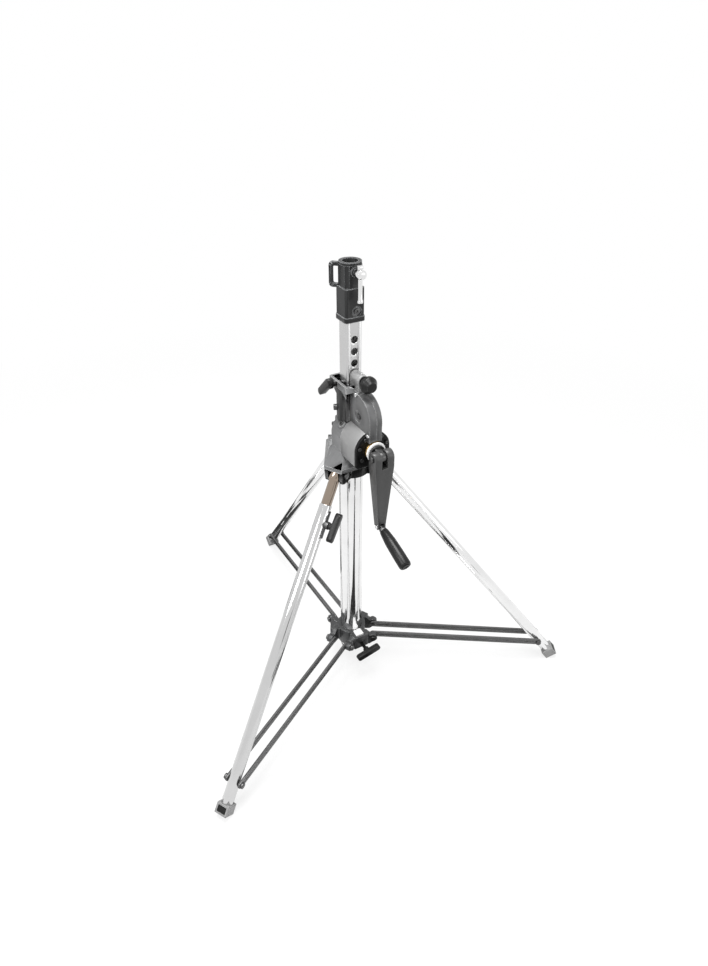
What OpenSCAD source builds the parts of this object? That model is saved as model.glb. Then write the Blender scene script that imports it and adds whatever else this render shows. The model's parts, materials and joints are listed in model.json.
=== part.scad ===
/* [Stand] */
// Height of the stand with the riser fully down
total_h = 970; // [960:1:990]
// Distance from the column axis to the middle of each foot on the floor
foot_r = 500; // [490:1:510]
// Height at which the lines of the three legs meet on the column axis
apex_z = 636; // [630:1:640]
// Number of hole pitches that the riser climbs from rest
lift_steps = 20; // [4:1:20]

/* [Column and riser] */
// Outside diameter of the round column tube
tube_d = 50; // [48:0.5:50]
// Wall of the round column tube
tube_wall = 2; // [1.5:0.1:2]
// Outside width of the square riser tube
riser_w = 31.5; // [31:0.1:31.5]
// Wall of the riser tube
riser_wall = 2; // [1.5:0.1:2.5]
// Distance between neighbouring riser holes
hole_pitch = 22.8; // [22.8:0.1:22.8]
// Diameter of the riser holes
hole_d = 13.8; // [13.4:0.1:14]
// Height of the highest riser hole at rest
hole_top_z = 832; // [832:1:832]

/* [Top casting] */
// Bore of the spigot socket
socket_d = 28.6; // [28:0.1:29]
// Depth of the spigot socket
socket_depth = 52; // [40:1:54]
// Height of the casting's lower edge
top_base_z = 866; // [864:1:868]
// Height of the step between the lower and the upper part
top_step_z = 926; // [922:1:930]
// Width of the lower square part
top_w = 38.5; // [38:0.1:40]
// Width of the upper eight-sided part
top_neck_w = 35.5; // [35:0.1:36]

/* [Gearing] */
// Teeth on the drive wheel
wheel_teeth = 10; // [10:1:10]
// Height of the crank shaft
crank_z = 639; // [638.5:0.1:639]
// Outside radius of the round gear case
case_r = 44.5; // [44.5:0.1:45]
// Outside radius of the barrel round the worm
barrel_r = 36.5; // [36:0.1:37]
// Length of the crank arm from its pivot to the grip pivot
arm_len = 159; // [157:1:161]
// Angle by which the grip hangs below level
grip_droop = 20; // [10:1:30]

/* [Legs] */
// Outside diameter of a leg tube
leg_d = 25; // [24.5:0.1:25]
// Wall of a leg tube
leg_wall = 1.5; // [1.2:0.1:1.6]
// Distance of a leg's hinge from the column axis
hinge_r = 54; // [54:0.5:55]
// Distance of a brace's leg pivot from the floor, along the leg
brace_at = 78; // [76:1:80]
// Distance of a brace's spider pivot from the column axis
spider_pivot_r = 52.3; // [52:0.1:53]
// Height of the spider pivots at rest
spider_z = 84; // [82:1:86]
// Side of a foot cap
foot_w = 30; // [29:0.5:31]

/* [Hidden] */
$fn = 64;

// Leg directions, seen from above
leg_angles = [-60, 60, 180];
lean = atan(foot_r / apex_z);
hinge_s = (foot_r - hinge_r) / sin(lean);
hinge_z = apex_z * (1 - hinge_r / foot_r);
foot_len = 36;
foot_out = foot_w / 2 / cos(lean);
// Distance from the middle of the feet's outline to the column axis
axis_x = ((foot_r + foot_out) * (1 - cos(60)) - foot_w / 2 * sin(60)) / 2;

// Fits between parts that move on each other, and between parts that only pass
slip = 0.05;
gap = 0.3;
cut = 1;

// Column
tube_r = tube_d / 2;
tube_low_z = 44;
tube_high_z = 612;
riser_half = riser_w / 2;
riser_low_z = 60;
riser_high_z = top_base_z + 40;
riser_corner = 4;
hole_count = lift_steps + 14;

// Head casting
skirt_low_z = 548;
ring_high_z = 578;
ring_r = 38.5;
shoulder_z = 615;
body_high_z = 665;
body_half = 24.5;
sleeve_r = 27;
taper_low_z = 710;
collar_low_z = 738;
collar_high_z = 751;
collar_back = 30;
collar_front = 36;
collar_half = 30;
pocket_low_z = 740;
pocket_wall = 5;
passage_half = 18;
fork_half = 20;
fork_out = 66;
// Roof over the three leg forks
eave_r = 69;
eave_low_z = 578;
eave_high_z = 586;
roof_top_z = 618;
pinch_half = 9;
pinch_low_z = 592;
pinch_high_z = 622;
pinch_bolt_z = 600;
screw_low_z = 562;
screw_seat_r = ring_r - 5;
screw_head_r = 4.5;
collar_corner = 3;
slot_half = leg_d / 2 + 0.6;

// Gearing
wheel_z = hole_top_z - 6 * hole_pitch;
pitch_r = wheel_teeth * hole_pitch / (2 * PI);
wheel_x = riser_half + pitch_r;
tooth_tip_r = pitch_r + 4;
case_half = 13;
case_inner_half = 9.5;
case_inner_r = case_r - 3.2;
split_y = 2;
axle_r = 5;
barrel_back = body_half;
barrel_front = 80;
barrel_inner_r = 31;
barrel_low = crank_z - 35;
barrel_corner = 6;
housing_back = -12;
cover_front = 86;
shaft_r = 8;
bush_r = 12;
collar_flange_front = 92.5;
collar_flange_r = 18.5;
washer_r = 20;
washer_x = 96;
hub_x = 99.6;
hub_front = 103.6;
pivot_x = 118;
arm_top_half = 20;
arm_low_half = 8;
arm_back = 105;
arm_front = 131;
arm_low_back = 110;
arm_low_front = 126;
tongue_half = 6;
grip_pivot_x = 120.5;
grip_pivot_z = crank_z - arm_len;
grip_tongue_half = 4;
grip_lobe_r = 6.5;
grip_start = 8;
grip_end = 97;

// Latch
latch_z = hole_top_z - 3 * hole_pitch;
latch_travel = 10;
latch_half = 11;
latch_front = 50;
latch_rod_end = latch_front + 20;

// Screw clamps
knob_shank_r = 4;
knob_bar_w = 13.5;
knob_bar_t = 11;
pad_r = 5;
pad_travel = 2.5;
screw_turns = [-32, 20];
// Places of the two screws that hold the gear case together: one in a lug on the rim, one below it
case_lug_turn = 97;
case_lug_r = 5;
case_bolt_r = 2.2;
case_bolts = [[wheel_x + case_r * cos(case_lug_turn), wheel_z + case_r * sin(case_lug_turn)], [91, 673]];
// Groove between the two shells, round the rim
rim_groove_half = 0.6;
rim_groove_depth = 1.2;
cover_screw_turns = [15, 55, 125, 165, 215, 325];
cover_screw_r = 30.5;
worm_half = 18;
worm_tip_r = 19;
worm_core_r = 9.5;

// Top casting
tommy_r = 5;
tommy_bar_r = 4;
tommy_bar_low = -44;
tommy_bar_len = 53;
tommy_z = 955;
screw_z = 885;
loop_z = 944;
loop_h = 45;
loop_root = top_neck_w * 0.58;
loop_out = 38.3;
loop_bar = 7.8;
loop_t = 6;
// Reach of the lower square part's round corner, with a little room
top_corner_r = top_w / 2 * sqrt(2) - 5 * (sqrt(2) - 1) + slip;
lock_z = 745.5;

// Legs
leg_r = leg_d / 2;
bar_inner = 13.6;
bar_t = 5;
bar_w = 15;
ear_inner = bar_inner + bar_t + 0.4;
ear_outer = 31;
ear_root_r = 20;
spider_ear_r = 10;
bolt_r = 4;
brace_r = foot_r - brace_at * sin(lean);
brace_z = brace_at * cos(lean);
brace_len = norm([brace_r - spider_pivot_r, brace_z - spider_z]);
brace_tilt = atan2(brace_z - spider_z, brace_r - spider_pivot_r);
level_top_s = 655;
level_inner_r = 10.7;
level_knob_s = level_top_s - 38;
saddle_len = 56;
saddle_w = 10;
spider_low_z = 65;
spider_high_z = 102;
spider_knob_z = 80;
spider_pad_half = 10;
spider_front = 50;
pocket_front = 46;

module column() {
    translate([axis_x, 0, 0]) children();
}

// Turns a child drawn for a leg along +X to leg number i
module at_leg(i) {
    rotate([0, 0, leg_angles[i]]) children();
}

// Moves a child to a point s up a leg's line, with +Z up along the leg
module on_leg(s) {
    translate([foot_r, 0, 0]) rotate([0, -lean, 0]) translate([0, 0, s]) children();
}

module x_cylinder(r, x0, x1, y = 0, z = 0) {
    translate([x0, y, z]) rotate([0, 90, 0]) cylinder(r = r, h = x1 - x0);
}

module y_cylinder(r, y0, y1, x = 0, z = 0) {
    translate([x, y1, z]) rotate([90, 0, 0]) cylinder(r = r, h = y1 - y0);
}

module z_cylinder(r, z0, z1) {
    translate([0, 0, z0]) cylinder(r = r, h = z1 - z0);
}

module box(low, high) {
    translate(low) cube(high - low);
}

// Flat outline in X and Z, made solid between two values of Y
module y_slab(y0, y1) {
    translate([0, y1, 0]) rotate([90, 0, 0]) linear_extrude(y1 - y0) children();
}

// Rectangle about the origin with round corners
module round_rect(w, d, r) {
    square([w - 2 * r, d], center = true);
    square([w, d - 2 * r], center = true);
    for (x = [-1, 1], y = [-1, 1]) translate([x * (w / 2 - r), y * (d / 2 - r)]) circle(r = r);
}

// Round bar outline of length len along X, with round ends of width w
module stadium(len, w) {
    square([len - w, w], center = true);
    for (x = [-1, 1]) translate([x * (len - w) / 2, 0]) circle(d = w);
}

// Clamp knob along +Z: threaded shank from 0, then a boss and a bar across, turned by a
module t_knob(shank, bar, a) {
    cylinder(r = knob_shank_r, h = shank);
    translate([0, 0, shank]) cylinder(r = 7, h = 7);
    translate([0, 0, shank + 7]) rotate([0, 0, a]) linear_extrude(knob_bar_t) stadium(bar, knob_bar_w);
}

// Socket-head screw along +Z: the head stands on 0 and the shank goes down
module socket_screw(head_r, head_h, shank_r, shank) {
    difference() {
        cylinder(r = head_r, h = head_h);
        translate([0, 0, head_h * 0.45]) cylinder(r = head_r * 0.5, h = head_h, $fn = 6);
    }
    translate([0, 0, -shank]) cylinder(r = shank_r, h = shank);
}

// Hinge bolt across a leg, along Y: head, shank and nut
module cross_bolt(half, r) {
    y_cylinder(r, -half, half);
    y_cylinder(r * 1.7, half, half + 5);
    translate([0, -half, 0]) rotate([90, 0, 0]) cylinder(r = r * 1.8, h = 5, $fn = 6);
}

// Column tube and riser
module main_tube() color("#dcdde0") column() difference() {
    z_cylinder(tube_r, tube_low_z, tube_high_z);
    z_cylinder(tube_r - tube_wall, tube_low_z - cut, tube_high_z + cut);
}

module tube_plug() color("#222326") column() {
    z_cylinder(tube_r, tube_low_z - 4, tube_low_z);
    z_cylinder(tube_r - tube_wall, tube_low_z, tube_low_z + 10);
}

module riser() color("#c4c5c8") column() difference() {
    translate([0, 0, riser_low_z]) linear_extrude(riser_high_z - riser_low_z) difference() {
        round_rect(riser_w, riser_w, riser_corner);
        round_rect(riser_w - 2 * riser_wall, riser_w - 2 * riser_wall, riser_corner - riser_wall);
    }
    for (i = [0:hole_count - 1]) x_cylinder(hole_d / 2, riser_half - riser_wall - cut,
        riser_half + cut, 0, hole_top_z - i * hole_pitch);
}

// Head casting: sleeve round the riser, collar, body, skirt and leg forks
module leg_slot() {
    front = leg_r + 2.5;
    y_slab(-slot_half, slot_half) {
        translate([hinge_r, hinge_z]) circle(r = front);
        translate([hinge_r, hinge_z]) polygon([[-leg_r - 1.5, 0], [front * cos(lean), front * sin(lean)],
            [front * cos(lean) + 90 * sin(lean), front * sin(lean) - 90 * cos(lean)],
            [-leg_r - 1.5, -90]]);
    }
}

module fork_lobe() {
    y_slab(-fork_half, fork_half) polygon([[20, skirt_low_z], [fork_out - 10, skirt_low_z],
        [fork_out - 2, skirt_low_z + 3], [fork_out, skirt_low_z + 11], [fork_out, hinge_z + 8],
        [fork_out - 6, hinge_z + 18], [46, shoulder_z - 13], [34, shoulder_z - 3], [20, shoulder_z]]);
}

// Six-sided outline of the roof that covers the three forks
module eave_outline() {
    polygon([for (a = leg_angles, s = [-1, 1]) eave_r * [cos(a), sin(a)]
        + s * fork_half * [-sin(a), cos(a)]]);
}

module collar_outline() {
    translate([(collar_front - collar_back) / 2, 0])
        round_rect(collar_front + collar_back, 2 * collar_half, collar_corner);
}

// Housing of the worm between two values of X: an arch above, square below with round corners
module worm_housing(x0, x1) {
    translate([x0, 0, 0]) rotate([90, 0, 90]) linear_extrude(x1 - x0) {
        translate([0, crank_z]) circle(r = barrel_r);
        translate([0, (barrel_low + barrel_corner + crank_z) / 2])
            square([2 * barrel_r, crank_z - barrel_low - barrel_corner], center = true);
        translate([0, barrel_low + barrel_corner])
            square([2 * (barrel_r - barrel_corner), 2 * barrel_corner], center = true);
        for (s = [-1, 1]) translate([s * (barrel_r - barrel_corner), barrel_low + barrel_corner])
            circle(r = barrel_corner);
    }
}

// Block of the gear case between two values of Y: round above, square down to the barrel
module case_block(y0, y1) {
    difference() {
        y_slab(y0, y1) {
            translate([wheel_x, wheel_z]) circle(r = case_r);
            translate([wheel_x - case_r + 0.5, crank_z]) square([2 * case_r - 1, wheel_z - crank_z]);
            translate(case_bolts[0]) circle(r = case_lug_r);
        }
        z_cylinder(sleeve_r, body_high_z, wheel_z + case_r);
        box([-body_half, -body_half, crank_z - cut], [body_half, body_half, body_high_z]);
        worm_housing(0, barrel_front);
        x_cylinder(barrel_r, barrel_front - cut, wheel_x + case_r + cut, 0, crank_z - 14);
    }
}

module head_casting() color("#2e2f33") column() difference() {
    union() {
        z_cylinder(sleeve_r, body_high_z, collar_low_z);
        translate([0, 0, collar_low_z]) linear_extrude(collar_high_z - collar_low_z) collar_outline();
        intersection() {
            y_slab(-collar_half, collar_half) polygon([[-20, taper_low_z], [20, taper_low_z],
                [22, collar_low_z], [3 - collar_back, collar_low_z]]);
            rotate([0, 0, 90]) y_slab(-collar_half, collar_half) polygon([[-18, taper_low_z],
                [18, taper_low_z], [collar_half - 2, collar_low_z], [2 - collar_half, collar_low_z]]);
        }
        translate([0, 0, shoulder_z - 5]) linear_extrude(body_high_z - shoulder_z + 5)
            round_rect(2 * body_half, 2 * body_half, 8);
        z_cylinder(ring_r, skirt_low_z, ring_high_z);
        for (i = [0:2]) at_leg(i) fork_lobe();
        worm_housing(housing_back, barrel_back);
        translate([0, 0, eave_low_z]) linear_extrude(eave_high_z - eave_low_z) eave_outline();
        hull() {
            translate([0, 0, eave_high_z]) linear_extrude(0.5) eave_outline();
            translate([-body_half, -body_half, roof_top_z]) cube([2 * body_half, 2 * body_half, 0.5]);
        }
        rotate([0, 0, -120]) box([20, -pinch_half, pinch_low_z], [45, pinch_half, pinch_high_z]);
    }
    z_cylinder(tube_r, skirt_low_z - cut, tube_high_z);
    translate([0, 0, tube_high_z - cut]) linear_extrude(collar_high_z - tube_high_z + 2 * cut)
        round_rect(2 * passage_half, 2 * passage_half, riser_corner + 1);
    box([pocket_wall - collar_back, pocket_wall - collar_half, pocket_low_z],
        [collar_front - pocket_wall, collar_half - pocket_wall, collar_high_z + cut]);
    box([passage_half, -latch_half, pocket_low_z], [collar_front + cut, latch_half, collar_high_z + cut]);
    for (i = [0:2]) at_leg(i) {
        leg_slot();
        y_cylinder(bolt_r, -fork_half - cut, fork_half + cut, hinge_r, hinge_z);
    }
    box([passage_half - cut, -case_inner_half, crank_z + 13],
        [sleeve_r + cut, case_inner_half, collar_low_z - 3]);
    case_block(-case_half, case_half);
    worm_housing(barrel_back, fork_out);
    x_cylinder(bush_r, passage_half - cut, body_half + cut, 0, crank_z);
    y_cylinder(knob_shank_r + slip, -collar_half - cut, -passage_half + cut, 0, lock_z);
    for (a = screw_turns) rotate([0, 0, a]) {
        x_cylinder(3, tube_r - cut, ring_r + cut, 0, screw_low_z);
        x_cylinder(screw_head_r + gap, screw_seat_r, fork_out, 0, screw_low_z);
    }
    rotate([0, 0, -120]) {
        box([20, -0.8, pinch_low_z - cut], [45 + cut, 0.8, pinch_high_z + cut]);
        y_cylinder(3, -pinch_half - cut, pinch_half + cut, 38, pinch_bolt_z);
    }
}

module tube_screws() color("#b9babd") column() for (a = screw_turns) rotate([0, 0, a])
    translate([screw_seat_r, 0, screw_low_z]) rotate([0, 90, 0])
        socket_screw(screw_head_r, 4, 3, screw_seat_r - tube_r);

// Square liner between the casting and the riser
module guide(z0, z1) {
    translate([0, 0, z0]) linear_extrude(z1 - z0) difference() {
        round_rect(2 * passage_half, 2 * passage_half, riser_corner + 1);
        round_rect(riser_w + 4 * slip, riser_w + 4 * slip, riser_corner + 2 * slip);
    }
}

module riser_guides() color("#1e1f21") column() {
    guide(pocket_low_z - 14, pocket_low_z);
    guide(tube_high_z, tube_high_z + 20);
}

// Gear case: two shells that meet beside the middle of the drive wheel
module case_shell(y0, y1) {
    difference() {
        case_block(y0, y1);
        y_cylinder(case_inner_r, -case_inner_half, case_inner_half, wheel_x, wheel_z);
        box([sleeve_r - 2, -case_inner_half, crank_z], [barrel_front - 1, case_inner_half, crank_z + 45]);
        y_cylinder(axle_r + 3, -case_half - cut, case_half + cut, wheel_x, wheel_z);
        for (b = case_bolts) y_cylinder(case_bolt_r, -case_half - cut, case_half + cut, b[0], b[1]);
        difference() {
            y_cylinder(case_r + 2 * case_lug_r, split_y - rim_groove_half, split_y + rim_groove_half,
                wheel_x, wheel_z);
            y_cylinder(case_r - rim_groove_depth, split_y - cut, split_y + cut, wheel_x, wheel_z);
            box([0, -case_half, 0], [wheel_x + 2 * case_r, case_half, wheel_z]);
        }
    }
}

module gear_case_left() color("#3a3b3f") column() difference() {
    case_shell(-case_half, split_y);
    y_cylinder(12, -case_half - cut, 2 - case_half, wheel_x, wheel_z);
}

module gear_case_right() color("#3a3b3f") column() case_shell(split_y, case_half);

module case_screws() color("#c9cacd") column()
    for (b = case_bolts) translate([b[0], -case_half, b[1]]) rotate([90, 0, 0])
        socket_screw(4, 3.6, case_bolt_r, 2 * case_half);

module axle_bushes() color("#b08d4a") column() difference() {
    union() {
        y_cylinder(axle_r + 3, 2 - case_half, -case_inner_half + 1, wheel_x, wheel_z);
        y_cylinder(axle_r + 3, case_inner_half - 1, case_half, wheel_x, wheel_z);
    }
    y_cylinder(axle_r + slip, -case_half - cut, case_half + cut, wheel_x, wheel_z);
}

module wheel_axle() color("#8f9196") column()
    y_cylinder(axle_r, 0.5 - case_half, case_half - 0.5, wheel_x, wheel_z);

// Drive wheel: a hub and a web that carry round teeth, one for each riser hole
module drive_wheel() color("#8a8c90") column() translate([wheel_x, 0, wheel_z]) difference() {
    union() {
        y_cylinder(30, -6, 6);
        y_cylinder(12, 1.5 - case_inner_half, case_inner_half - 1.5);
        for (i = [0:wheel_teeth - 1]) rotate([0, 180 + i * 360 / wheel_teeth, 0]) rotate([0, 90, 0])
            rotate_extrude() polygon([[0, 24], [5, 24], [5, pitch_r - 2], [3.2, tooth_tip_r],
                [0, tooth_tip_r]]);
    }
    y_cylinder(axle_r, -case_half, case_half);
}

// Worm and crank shaft along +X
module worm_barrel() color("#8c8e93") column() difference() {
    worm_housing(barrel_back, barrel_front);
    x_cylinder(barrel_inner_r, barrel_back + 4, barrel_front + cut, 0, crank_z);
    x_cylinder(bush_r, barrel_back - cut, barrel_back + 5, 0, crank_z);
    z_cylinder(sleeve_r, body_high_z, collar_low_z);
    z_cylinder(tube_r + gap, tube_low_z, tube_high_z + gap);
    y_cylinder(case_inner_r, -case_inner_half, case_inner_half, wheel_x, wheel_z);
}

module rear_bearing() color("#b08d4a") column() difference() {
    x_cylinder(bush_r, passage_half + 0.5, barrel_back + 6, 0, crank_z);
    x_cylinder(shaft_r + slip, passage_half, barrel_back + 7, 0, crank_z);
}

module barrel_cover() color("#26272a") column() difference() {
    worm_housing(barrel_front, cover_front);
    x_cylinder(bush_r, barrel_front - cut, cover_front + cut, 0, crank_z);
    for (a = cover_screw_turns) translate([0, 0, crank_z]) rotate([a, 0, 0])
        x_cylinder(2, barrel_front - cut, cover_front + cut, cover_screw_r, 0);
    case_block(-case_half, case_half);
}

module cover_screws() color("#d4d5d8") column() for (a = cover_screw_turns)
    translate([cover_front, 0, crank_z]) rotate([a, 0, 0]) translate([0, cover_screw_r, 0])
        rotate([0, 90, 0]) socket_screw(3.4, 3.2, 2, cover_front - barrel_front);

module brass_collar() color("#c9a24a") column() difference() {
    union() {
        x_cylinder(bush_r, barrel_front, cover_front, 0, crank_z);
        x_cylinder(collar_flange_r, cover_front, collar_flange_front, 0, crank_z);
        x_cylinder(15, collar_flange_front, washer_x - gap, 0, crank_z);
    }
    x_cylinder(shaft_r + slip, barrel_front - cut, washer_x + cut, 0, crank_z);
}

module brake_lining() color("#6b5a48") column() difference() {
    x_cylinder(27, barrel_front - 2.6, barrel_front, 0, crank_z);
    x_cylinder(15, barrel_front - 4, barrel_front + cut, 0, crank_z);
    box([barrel_front - 4, -case_inner_half, crank_z + 12],
        [barrel_front + cut, case_inner_half, crank_z + 32]);
}

module brake_disc() color("#9a9ca0") column() difference() {
    x_cylinder(18, barrel_front - 7, barrel_front - 2.9, 0, crank_z);
    x_cylinder(shaft_r, barrel_front - 8, barrel_front, 0, crank_z);
}

// One left-hand thread whose crest stands on top of the worm at the wheel's middle
module worm_shaft() color("#a0a2a6") column() {
    x_cylinder(shaft_r, passage_half + 1, hub_front - 1, 0, crank_z);
    translate([wheel_x, 0, crank_z]) rotate([0, 90, 0]) rotate([0, 0, 180])
        translate([0, 0, -worm_half]) rotate([0, 0, worm_half / hole_pitch * 360])
            linear_extrude(2 * worm_half, twist = 720 * worm_half / hole_pitch, slices = 36, $fn = 20)
                polygon([for (t = [0:18:342]) worm_profile(t) * [cos(t), sin(t)]]);
}

// Radius of the worm's section at angle t: a crest about 0 that falls to the core
function worm_profile(t) =
    let (d = min(t, 360 - t)) d < 48 ? worm_tip_r : d > 84 ? worm_core_r : worm_tip_r
        - (worm_tip_r - worm_core_r) * (d - 48) / 36;

module crank_washer() color("#f4f4f2") column() difference() {
    x_cylinder(washer_r, washer_x, hub_x, 0, crank_z);
    x_cylinder(shaft_r, washer_x - cut, hub_x + cut, 0, crank_z);
}

// Crank hub: a round foot on the shaft and a tongue for the arm
module crank_hub() color("#45474c") column() difference() {
    union() {
        x_cylinder(16, hub_x, hub_front, 0, crank_z);
        box([hub_front - 0.5, -tongue_half, crank_z - 10], [pivot_x, tongue_half, crank_z + 10]);
        y_cylinder(10, -tongue_half, tongue_half, pivot_x, crank_z);
    }
    x_cylinder(shaft_r, hub_x - cut, hub_front - 1, 0, crank_z);
    y_cylinder(bolt_r, -arm_top_half, arm_top_half, pivot_x, crank_z);
}

module crank_arm() color("#1f2023") column() difference() {
    union() {
        hull() {
            y_cylinder(13, -arm_top_half, arm_top_half, pivot_x, crank_z, $fn = 32);
            box([arm_back, -arm_top_half, crank_z - 20], [arm_front, arm_top_half, crank_z - 19]);
            box([arm_low_back, -arm_low_half, grip_pivot_z - 1],
                [arm_low_front, arm_low_half, grip_pivot_z]);
        }
        y_cylinder(grip_lobe_r, -arm_low_half, arm_low_half, grip_pivot_x, grip_pivot_z);
        x_cylinder(4.5, arm_low_back - 6, arm_low_back + 4, 0, grip_pivot_z + 10);
    }
    box([grip_pivot_x - grip_lobe_r - 1, -grip_tongue_half - gap, grip_pivot_z - 2 * grip_lobe_r],
        [arm_front + cut, grip_tongue_half + gap, grip_pivot_z + grip_lobe_r + 2]);
    box([arm_back - 8, -tongue_half - gap, crank_z - 20],
        [arm_front + cut, tongue_half + gap, crank_z + 20]);
    y_cylinder(bolt_r + slip, -arm_top_half - cut, arm_top_half + cut, pivot_x, crank_z);
    y_cylinder(2.5, -arm_low_half - cut, arm_low_half + cut, grip_pivot_x, grip_pivot_z);
}

module crank_pin() color("#5a5c60") column() {
    y_cylinder(bolt_r, -arm_top_half - 1, arm_top_half + 1, pivot_x, crank_z);
    for (s = [-1, 1]) y_cylinder(6, s > 0 ? arm_top_half + gap : -arm_top_half - 3,
        s > 0 ? arm_top_half + 3 : -arm_top_half - gap, pivot_x, crank_z);
}

// Draws along the grip's own axis, with +Z out of the arm
module on_grip() {
    translate([grip_pivot_x, 0, grip_pivot_z]) rotate([0, 90 + grip_droop, 0]) children();
}

module grip_fork() color("#b9bbbf") column() on_grip() {
    difference() {
        union() {
            z_cylinder(7.4, grip_start, grip_start + 5);
            rotate([90, 0, 0]) cylinder(r = 6, h = 2 * grip_tongue_half, center = true);
            translate([-6, -grip_tongue_half, 0]) cube([12, 2 * grip_tongue_half, grip_start + 1]);
            z_cylinder(4, grip_start + 4, grip_end + 1.3);
        }
        rotate([90, 0, 0]) cylinder(r = 2.5, h = 30, center = true);
    }
    z_cylinder(7, grip_end + 1.2, grip_end + 3.4);
}

module grip_pin() color("#d4d5d8") column() {
    y_cylinder(2.45, -arm_low_half - 0.5, arm_low_half + 0.5, grip_pivot_x, grip_pivot_z);
    for (s = [-1, 1]) translate([0, s * (arm_low_half + 1.3), 0])
        y_cylinder(4, -0.9, 0.9, grip_pivot_x, grip_pivot_z);
}

module crank_grip() color("#26272a") column() on_grip() rotate_extrude() polygon([[4.05, grip_start + 5.3],
    [8.5, grip_start + 5.3], [9.5, 20], [11.6, 40], [12.4, 70], [12.4, grip_end], [11, grip_end + 4],
    [8, grip_end + 4], [8, grip_end + 0.9], [4.05, grip_end + 0.9]]);

// Spigot casting on top of the riser
module top_casting() color("#1c1d20") column() difference() {
    union() {
        translate([0, 0, top_base_z]) linear_extrude(top_step_z - top_base_z) round_rect(top_w, top_w, 5);
        translate([0, 0, top_base_z]) linear_extrude(9) round_rect(top_w + 2.4, top_w + 2.4, 6);
        translate([0, 0, top_step_z]) linear_extrude(total_h - 5 - top_step_z) intersection() {
            square(top_neck_w, center = true);
            rotate([0, 0, 45]) square(top_neck_w * 1.16, center = true);
        }
        z_cylinder(20.5, total_h - 5, total_h);
        x_cylinder(8.5, top_neck_w / 2 - 3, top_neck_w / 2 + 2.5, 0, tommy_z);
    }
    z_cylinder(socket_d / 2, total_h - socket_depth, total_h + cut);
    translate([0, 0, top_base_z - cut]) linear_extrude(riser_high_z - top_base_z + cut)
        round_rect(riser_w, riser_w, riser_corner);
    x_cylinder(tommy_r + slip, socket_d / 2 - 4, top_neck_w / 2 + 4, 0, tommy_z);
    x_cylinder(9, top_w / 2 - 3, top_w / 2 + cut, 3, screw_z);
    x_cylinder(3, 0, top_w / 2, 3, screw_z);
}

// Loop for a safety cable, on the corner of the casting that faces away from the crank
module safety_loop() color("#1c1d20") column() rotate([0, 0, -135]) translate([0, 0, loop_z])
    rotate([90, 0, 0]) translate([0, 0, -loop_t / 2]) linear_extrude(loop_t) difference() {
        translate([loop_out - loop_h / 2, 0]) round_rect(loop_h, loop_h, 7);
        translate([loop_out - loop_bar - loop_h / 2, 0]) round_rect(loop_h, loop_h - 2 * loop_bar, 3);
        translate([loop_root - 2 * loop_h, -loop_h]) square([2 * loop_h, 2 * loop_h]);
        translate([0, top_step_z - loop_z + slip - loop_h]) square([top_corner_r, loop_h]);
    }

module casting_screw() color("#3b3c40") column() translate([top_w / 2 - 3, 3, screw_z]) rotate([0, 90, 0])
    socket_screw(5, 2.6, 3, top_w / 2 - 3 - riser_half);

module tommy_pad() color("#c9a24a") column()
    x_cylinder(4.4, socket_d / 2 + 0.2, socket_d / 2 + 2, 0, tommy_z);

module tommy_screw() color("#dcdde0") column() difference() {
    union() {
        x_cylinder(tommy_r, socket_d / 2 + 2.1, 27, 0, tommy_z);
        x_cylinder(7.5, 26, 28, 0, tommy_z);
        x_cylinder(8.5, 28, 42, 0, tommy_z);
        translate([42, 0, tommy_z]) rotate([0, 90, 0]) cylinder(r1 = 8.5, r2 = 5, h = 3);
    }
    translate([35, 0, tommy_z - 20]) cylinder(r = tommy_bar_r + slip, h = 40);
}

module tommy_bar() color("#dcdde0") column() translate([35, 0, tommy_z]) {
    translate([0, 0, tommy_bar_low]) cylinder(r = tommy_bar_r, h = tommy_bar_len);
    for (z = [tommy_bar_low - 5, tommy_bar_low + tommy_bar_len]) translate([0, 0, z])
        cylinder(r = tommy_bar_r + 1.2, h = 5);
}

// Latch that pins the riser through one of its holes
module latch_housing() color("#b4b5b9") column() difference() {
    union() {
        x_cylinder(latch_half, passage_half, latch_front, 0, latch_z);
        box([passage_half, -latch_half, pocket_low_z], [latch_front, latch_half, latch_z]);
    }
    x_cylinder(5 + slip, passage_half - cut, latch_front, 0, latch_z);
    x_cylinder(8.6, passage_half + 3, latch_front + cut, 0, latch_z);
    case_block(-case_half, case_half);
}

// Return spring at its pushed-in length
module latch_spring() color("#8f9196") column()
    translate([passage_half + 3.4, 0, latch_z]) rotate([0, 90, 0]) polyhedron(
        points = [for (i = [0:spring_steps], k = [0:5]) spring_point(i, k)],
        faces = concat([[5, 4, 3, 2, 1, 0]], [[for (k = [0:5]) spring_steps * 6 + k]],
            [for (i = [0:spring_steps - 1], k = [0:5], h = [0, 1]) h == 0
                ? [i * 6 + k, i * 6 + (k + 1) % 6, (i + 1) * 6 + k]
                : [i * 6 + (k + 1) % 6, (i + 1) * 6 + (k + 1) % 6, (i + 1) * 6 + k]]));

spring_steps = 60;
spring_wire_r = 0.6;
function spring_point(i, k) =
    let (a = i * 20, r = 7.2 + spring_wire_r * cos(k * 60))
        [r * cos(a), r * sin(a), 0.7 + i * 0.085 + spring_wire_r * sin(k * 60)];

module latch_plunger() color("#a0a2a6") column() x_cylinder(5, riser_half + 1, latch_rod_end, 0, latch_z);

module latch_knob() color("#232427") column() difference() {
    union() {
        x_cylinder(8.3, latch_front - 1.5, latch_front + latch_travel + 1, 0, latch_z);
        translate([latch_front + latch_travel + 1, 0, latch_z]) rotate([0, 90, 0]) rotate_extrude()
            polygon([[0, 0], [14, 0], [16.5, 3], [16.5, 9], [10, 18], [9.5, 20], [0, 20]]);
    }
    x_cylinder(5, 0, latch_rod_end, 0, latch_z);
}

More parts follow.
